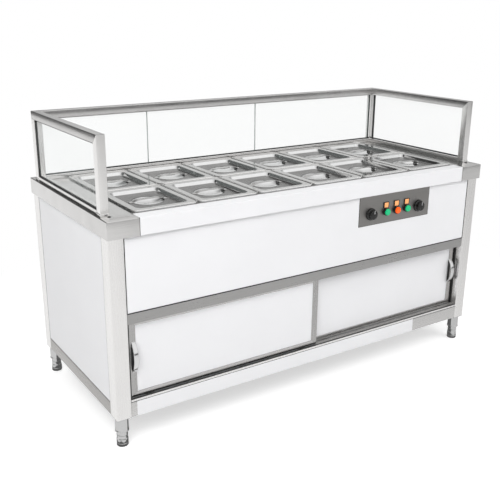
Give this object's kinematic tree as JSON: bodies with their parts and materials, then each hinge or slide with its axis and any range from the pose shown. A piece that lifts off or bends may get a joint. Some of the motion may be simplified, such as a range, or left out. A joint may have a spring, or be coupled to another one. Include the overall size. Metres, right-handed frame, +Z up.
{
  "type": "food warmer cabinet",
  "caption": "Free-standing heated serving cabinet with lidded food pans in a water bath, glass guard, sliding cupboard doors, knobs, push buttons and adjustable feet.",
  "frame": {"origin": "on the floor under the middle of the whole object's bounding box", "axes": "+X to the right seen from the operator's side with the doors and controls, +Y to the back, +Z up"},
  "size_m": [1.85, 0.814, 1.16],
  "materials": {
    "steel": "brushed stainless sheet",
    "white_panel": "smooth white paint",
    "chrome": "polished chrome plate",
    "black_plastic": "glossy black moulding",
    "grey_plastic": "matt grey moulding",
    "green_cap": "translucent green cap",
    "orange_cap": "translucent orange cap",
    "brass_valve": "cast and turned brass",
    "red_lever": "red dipped steel",
    "black_rubber": "black extruded seal",
    "clear_glass": "clear toughened glass"
  },
  "bodies": {
    "cabinet": {"base_frame": "steel", "foot_tubes": "chrome", "bottom_deck": "steel", "body_panels": "white_panel", "front_panels": "white_panel", "mid_rail": "steel", "partition_shelf": "steel", "worktop": "steel", "front_ledge": "white_panel", "door_tracks": "steel", "water_tank": "steel", "heating_elements": "steel", "pan_support_grid": "steel", "control_plate": "steel", "control_box": "grey_plastic", "legend_plates": "black_plastic", "drain_valve": "brass_valve", "guard_frame": "steel", "guard_seals": "black_rubber", "guard_glass": "clear_glass"},
    "door_left": {"door_left_frame": "steel", "door_left_panel": "white_panel", "door_left_handle": "chrome"},
    "door_right": {"door_right_frame": "steel", "door_right_panel": "white_panel", "door_right_handle": "chrome"},
    "drain_lever": {"drain_lever": "red_lever"},
    "knob_left": {"knob_left": "black_plastic"},
    "knob_right": {"knob_right": "black_plastic"},
    "button_left": {"button_left": "green_cap"},
    "button_middle": {"button_middle": "orange_cap"},
    "button_right": {"button_right": "green_cap"},
    "foot_adjuster_front_left": {"foot_adjuster_front_left": "chrome"},
    "foot_adjuster_front_right": {"foot_adjuster_front_right": "chrome"},
    "foot_adjuster_back_left": {"foot_adjuster_back_left": "chrome"},
    "foot_adjuster_back_right": {"foot_adjuster_back_right": "chrome"},
    "pan_1": {"pan_1": "steel"},
    "lid_1": {"lid_1": "steel"},
    "pan_2": {"pan_2": "steel"},
    "lid_2": {"lid_2": "steel"},
    "pan_3": {"pan_3": "steel"},
    "lid_3": {"lid_3": "steel"},
    "pan_4": {"pan_4": "steel"},
    "lid_4": {"lid_4": "steel"},
    "pan_5": {"pan_5": "steel"},
    "lid_5": {"lid_5": "steel"},
    "pan_6": {"pan_6": "steel"},
    "lid_6": {"lid_6": "steel"},
    "pan_7": {"pan_7": "steel"},
    "lid_7": {"lid_7": "steel"},
    "pan_8": {"pan_8": "steel"},
    "lid_8": {"lid_8": "steel"},
    "pan_9": {"pan_9": "steel"},
    "lid_9": {"lid_9": "steel"},
    "pan_10": {"pan_10": "steel"},
    "lid_10": {"lid_10": "steel"},
    "pan_11": {"pan_11": "steel"},
    "lid_11": {"lid_11": "steel"},
    "pan_12": {"pan_12": "steel"},
    "lid_12": {"lid_12": "steel"}
  },
  "joints": [
    {"name": "door_left_slide", "type": "slide", "parent": "cabinet", "child": "door_left", "axis": [1, 0, 0], "range_m": [0, 0.8]},
    {"name": "drain_lever_turn", "type": "hinge", "parent": "cabinet", "child": "drain_lever", "pos_m": [-0.7, 0.1567, 0.435], "axis": [0, 1, 0], "range_deg": [0, 90]},
    {"name": "door_right_slide", "type": "slide", "parent": "cabinet", "child": "door_right", "axis": [1, 0, 0], "range_m": [-0.8, 0]},
    {"name": "knob_left_turn", "type": "hinge", "parent": "cabinet", "child": "knob_left", "pos_m": [0.267, -0.3815, 0.733], "axis": [0, 1, 0], "range_deg": [0, 270]},
    {"name": "knob_right_turn", "type": "hinge", "parent": "cabinet", "child": "knob_right", "pos_m": [0.545, -0.3815, 0.733], "axis": [0, 1, 0], "range_deg": [0, 270]},
    {"name": "button_left_press", "type": "slide", "parent": "cabinet", "child": "button_left", "axis": [0, 1, 0], "range_m": [0, 0.004], "stiffness_N_per_m": 400, "springref_m": -0.002},
    {"name": "button_middle_press", "type": "slide", "parent": "cabinet", "child": "button_middle", "axis": [0, 1, 0], "range_m": [0, 0.004], "stiffness_N_per_m": 400, "springref_m": -0.002},
    {"name": "button_right_press", "type": "slide", "parent": "cabinet", "child": "button_right", "axis": [0, 1, 0], "range_m": [0, 0.004], "stiffness_N_per_m": 400, "springref_m": -0.002},
    {"name": "foot_adjuster_front_left_screw", "type": "slide", "parent": "cabinet", "child": "foot_adjuster_front_left", "axis": [0, 0, -1], "range_m": [0, 0.025]},
    {"name": "foot_adjuster_front_right_screw", "type": "slide", "parent": "cabinet", "child": "foot_adjuster_front_right", "axis": [0, 0, -1], "range_m": [0, 0.025]},
    {"name": "foot_adjuster_back_left_screw", "type": "slide", "parent": "cabinet", "child": "foot_adjuster_back_left", "axis": [0, 0, -1], "range_m": [0, 0.025]},
    {"name": "foot_adjuster_back_right_screw", "type": "slide", "parent": "cabinet", "child": "foot_adjuster_back_right", "axis": [0, 0, -1], "range_m": [0, 0.025]},
    {"name": "pan_1_lift", "type": "slide", "parent": "cabinet", "child": "pan_1", "axis": [0, 0, 1], "range_m": [0, 0.4]},
    {"name": "lid_1_lift", "type": "slide", "parent": "pan_1", "child": "lid_1", "axis": [0, 0, 1], "range_m": [0, 0.3]},
    {"name": "pan_2_lift", "type": "slide", "parent": "cabinet", "child": "pan_2", "axis": [0, 0, 1], "range_m": [0, 0.4]},
    {"name": "lid_2_lift", "type": "slide", "parent": "pan_2", "child": "lid_2", "axis": [0, 0, 1], "range_m": [0, 0.3]},
    {"name": "pan_3_lift", "type": "slide", "parent": "cabinet", "child": "pan_3", "axis": [0, 0, 1], "range_m": [0, 0.4]},
    {"name": "lid_3_lift", "type": "slide", "parent": "pan_3", "child": "lid_3", "axis": [0, 0, 1], "range_m": [0, 0.3]},
    {"name": "pan_4_lift", "type": "slide", "parent": "cabinet", "child": "pan_4", "axis": [0, 0, 1], "range_m": [0, 0.4]},
    {"name": "lid_4_lift", "type": "slide", "parent": "pan_4", "child": "lid_4", "axis": [0, 0, 1], "range_m": [0, 0.3]},
    {"name": "pan_5_lift", "type": "slide", "parent": "cabinet", "child": "pan_5", "axis": [0, 0, 1], "range_m": [0, 0.4]},
    {"name": "lid_5_lift", "type": "slide", "parent": "pan_5", "child": "lid_5", "axis": [0, 0, 1], "range_m": [0, 0.3]},
    {"name": "pan_6_lift", "type": "slide", "parent": "cabinet", "child": "pan_6", "axis": [0, 0, 1], "range_m": [0, 0.4]},
    {"name": "lid_6_lift", "type": "slide", "parent": "pan_6", "child": "lid_6", "axis": [0, 0, 1], "range_m": [0, 0.3]},
    {"name": "pan_7_lift", "type": "slide", "parent": "cabinet", "child": "pan_7", "axis": [0, 0, 1], "range_m": [0, 0.4]},
    {"name": "lid_7_lift", "type": "slide", "parent": "pan_7", "child": "lid_7", "axis": [0, 0, 1], "range_m": [0, 0.3]},
    {"name": "pan_8_lift", "type": "slide", "parent": "cabinet", "child": "pan_8", "axis": [0, 0, 1], "range_m": [0, 0.4]},
    {"name": "lid_8_lift", "type": "slide", "parent": "pan_8", "child": "lid_8", "axis": [0, 0, 1], "range_m": [0, 0.3]},
    {"name": "pan_9_lift", "type": "slide", "parent": "cabinet", "child": "pan_9", "axis": [0, 0, 1], "range_m": [0, 0.4]},
    {"name": "lid_9_lift", "type": "slide", "parent": "pan_9", "child": "lid_9", "axis": [0, 0, 1], "range_m": [0, 0.3]},
    {"name": "pan_10_lift", "type": "slide", "parent": "cabinet", "child": "pan_10", "axis": [0, 0, 1], "range_m": [0, 0.4]},
    {"name": "lid_10_lift", "type": "slide", "parent": "pan_10", "child": "lid_10", "axis": [0, 0, 1], "range_m": [0, 0.3]},
    {"name": "pan_11_lift", "type": "slide", "parent": "cabinet", "child": "pan_11", "axis": [0, 0, 1], "range_m": [0, 0.4]},
    {"name": "lid_11_lift", "type": "slide", "parent": "pan_11", "child": "lid_11", "axis": [0, 0, 1], "range_m": [0, 0.3]},
    {"name": "pan_12_lift", "type": "slide", "parent": "cabinet", "child": "pan_12", "axis": [0, 0, 1], "range_m": [0, 0.4]},
    {"name": "lid_12_lift", "type": "slide", "parent": "pan_12", "child": "lid_12", "axis": [0, 0, 1], "range_m": [0, 0.3]}
  ]
}
